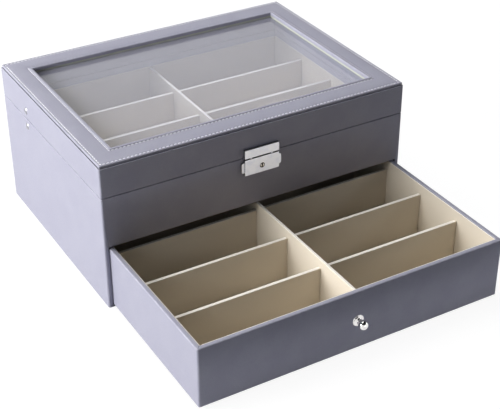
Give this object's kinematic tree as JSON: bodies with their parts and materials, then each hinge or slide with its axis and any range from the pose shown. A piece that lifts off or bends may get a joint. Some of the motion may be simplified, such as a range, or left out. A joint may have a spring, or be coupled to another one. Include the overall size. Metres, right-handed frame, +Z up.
{
  "type": "sunglasses organizer case",
  "caption": "Leather-covered box with a hinged glass-topped lid over a divided tray, a front lock with side buttons, and a divided drawer below.",
  "frame": {"origin": "centre of the underside of the case, the drawer not counted", "axes": "+X to the right, -Y to the front where the drawer pulls out, +Z up"},
  "size_m": [0.3363, 0.435, 0.1563],
  "materials": {
    "leather": "fine-grained grey artificial leather, satin",
    "board": "fibreboard faced with black paper",
    "lining": "short-pile cream velvet",
    "base_cloth": "black felt",
    "polished_metal": "nickel-plated, polished",
    "plated_steel": "nickel-plated steel",
    "glass": "clear float glass with a green edge",
    "seal": "pale foam",
    "bead": "grey"
  },
  "bodies": {
    "case": {"base_cloth": "base_cloth", "case_floor_board": "board", "case_left_board": "board", "case_right_board": "board", "case_front_board": "board", "case_back_board": "board", "tray_deck_board": "board", "case_cover": "leather", "tray_lining": "lining", "tray_floor_pad": "lining", "tray_centre_divider": "lining", "tray_cross_divider_1": "lining", "tray_cross_divider_2": "lining", "tray_cross_divider_3": "lining", "hinge_case_leaves": "plated_steel", "hinge_pins": "plated_steel", "hinge_case_screws": "plated_steel", "lock_case": "polished_metal", "lock_pins": "plated_steel", "lock_spring_left": "plated_steel", "lock_spring_right": "plated_steel", "stay_case_rivet": "plated_steel"},
    "lid": {"lid_left_board": "board", "lid_right_board": "board", "lid_front_board": "board", "lid_back_board": "board", "lid_cover": "leather", "lid_frame_board": "board", "lid_frame_cover": "leather", "glass_seal": "seal", "glass_pane": "glass", "glass_beads": "bead", "hinge_lid_leaves": "plated_steel", "hinge_lid_screws": "plated_steel", "hasp": "polished_metal", "hasp_screws": "plated_steel", "stay_lid_rivet": "plated_steel"},
    "drawer": {"drawer_front_board": "board", "drawer_left_board": "board", "drawer_right_board": "board", "drawer_back_board": "board", "drawer_floor_board": "board", "drawer_cover": "leather", "drawer_lining": "lining", "drawer_floor_pad": "lining", "drawer_centre_divider": "lining", "drawer_cross_divider_1": "lining", "drawer_cross_divider_2": "lining", "drawer_cross_divider_3": "lining", "knob": "polished_metal", "knob_screw": "plated_steel"},
    "stay_lower": {"stay_lower_link": "plated_steel", "stay_elbow_rivet": "plated_steel"},
    "stay_upper": {"stay_upper_link": "plated_steel"},
    "button_left": {"lock_button_left": "polished_metal"},
    "button_right": {"lock_button_right": "polished_metal"},
    "key": {"key_plug": "polished_metal"}
  },
  "joints": [
    {"name": "lid_hinge", "type": "hinge", "parent": "case", "child": "lid", "pos_m": [0, 0.1253, 0.1215], "axis": [-1, 0, 0], "range_deg": [0, 95]},
    {"name": "stay_lower_pivot", "type": "hinge", "parent": "case", "child": "stay_lower", "pos_m": [-0.1607, 0.058, 0.113], "axis": [-1, 0, 0], "range_deg": [0, 95]},
    {"name": "stay_upper_pivot", "type": "hinge", "parent": "lid", "child": "stay_upper", "pos_m": [-0.1595, 0.058, 0.1305], "axis": [-1, 0, 0], "range_deg": [-95, 0]},
    {"name": "drawer_slide", "type": "slide", "parent": "case", "child": "drawer", "axis": [0, -1, 0], "range_m": [-0.172, 0.056]},
    {"name": "button_left_slide", "type": "slide", "parent": "case", "child": "button_left", "axis": [1, 0, 0], "range_m": [0, 0.0025], "stiffness_N_per_m": 300, "springref_m": -0.002, "deforming": ["lock_spring_left"]},
    {"name": "button_right_slide", "type": "slide", "parent": "case", "child": "button_right", "axis": [-1, 0, 0], "range_m": [0, 0.0025], "stiffness_N_per_m": 300, "springref_m": -0.002, "deforming": ["lock_spring_right"]},
    {"name": "key_turn", "type": "hinge", "parent": "case", "child": "key", "pos_m": [0, -0.1268, 0.1109], "axis": [0, 1, 0], "range_deg": [0, 90]}
  ],
  "couplings": [
    {"joint": "stay_lower_pivot", "follows": "lid_hinge", "ratio": 1},
    {"joint": "stay_upper_pivot", "follows": "lid_hinge", "ratio": -1}
  ]
}
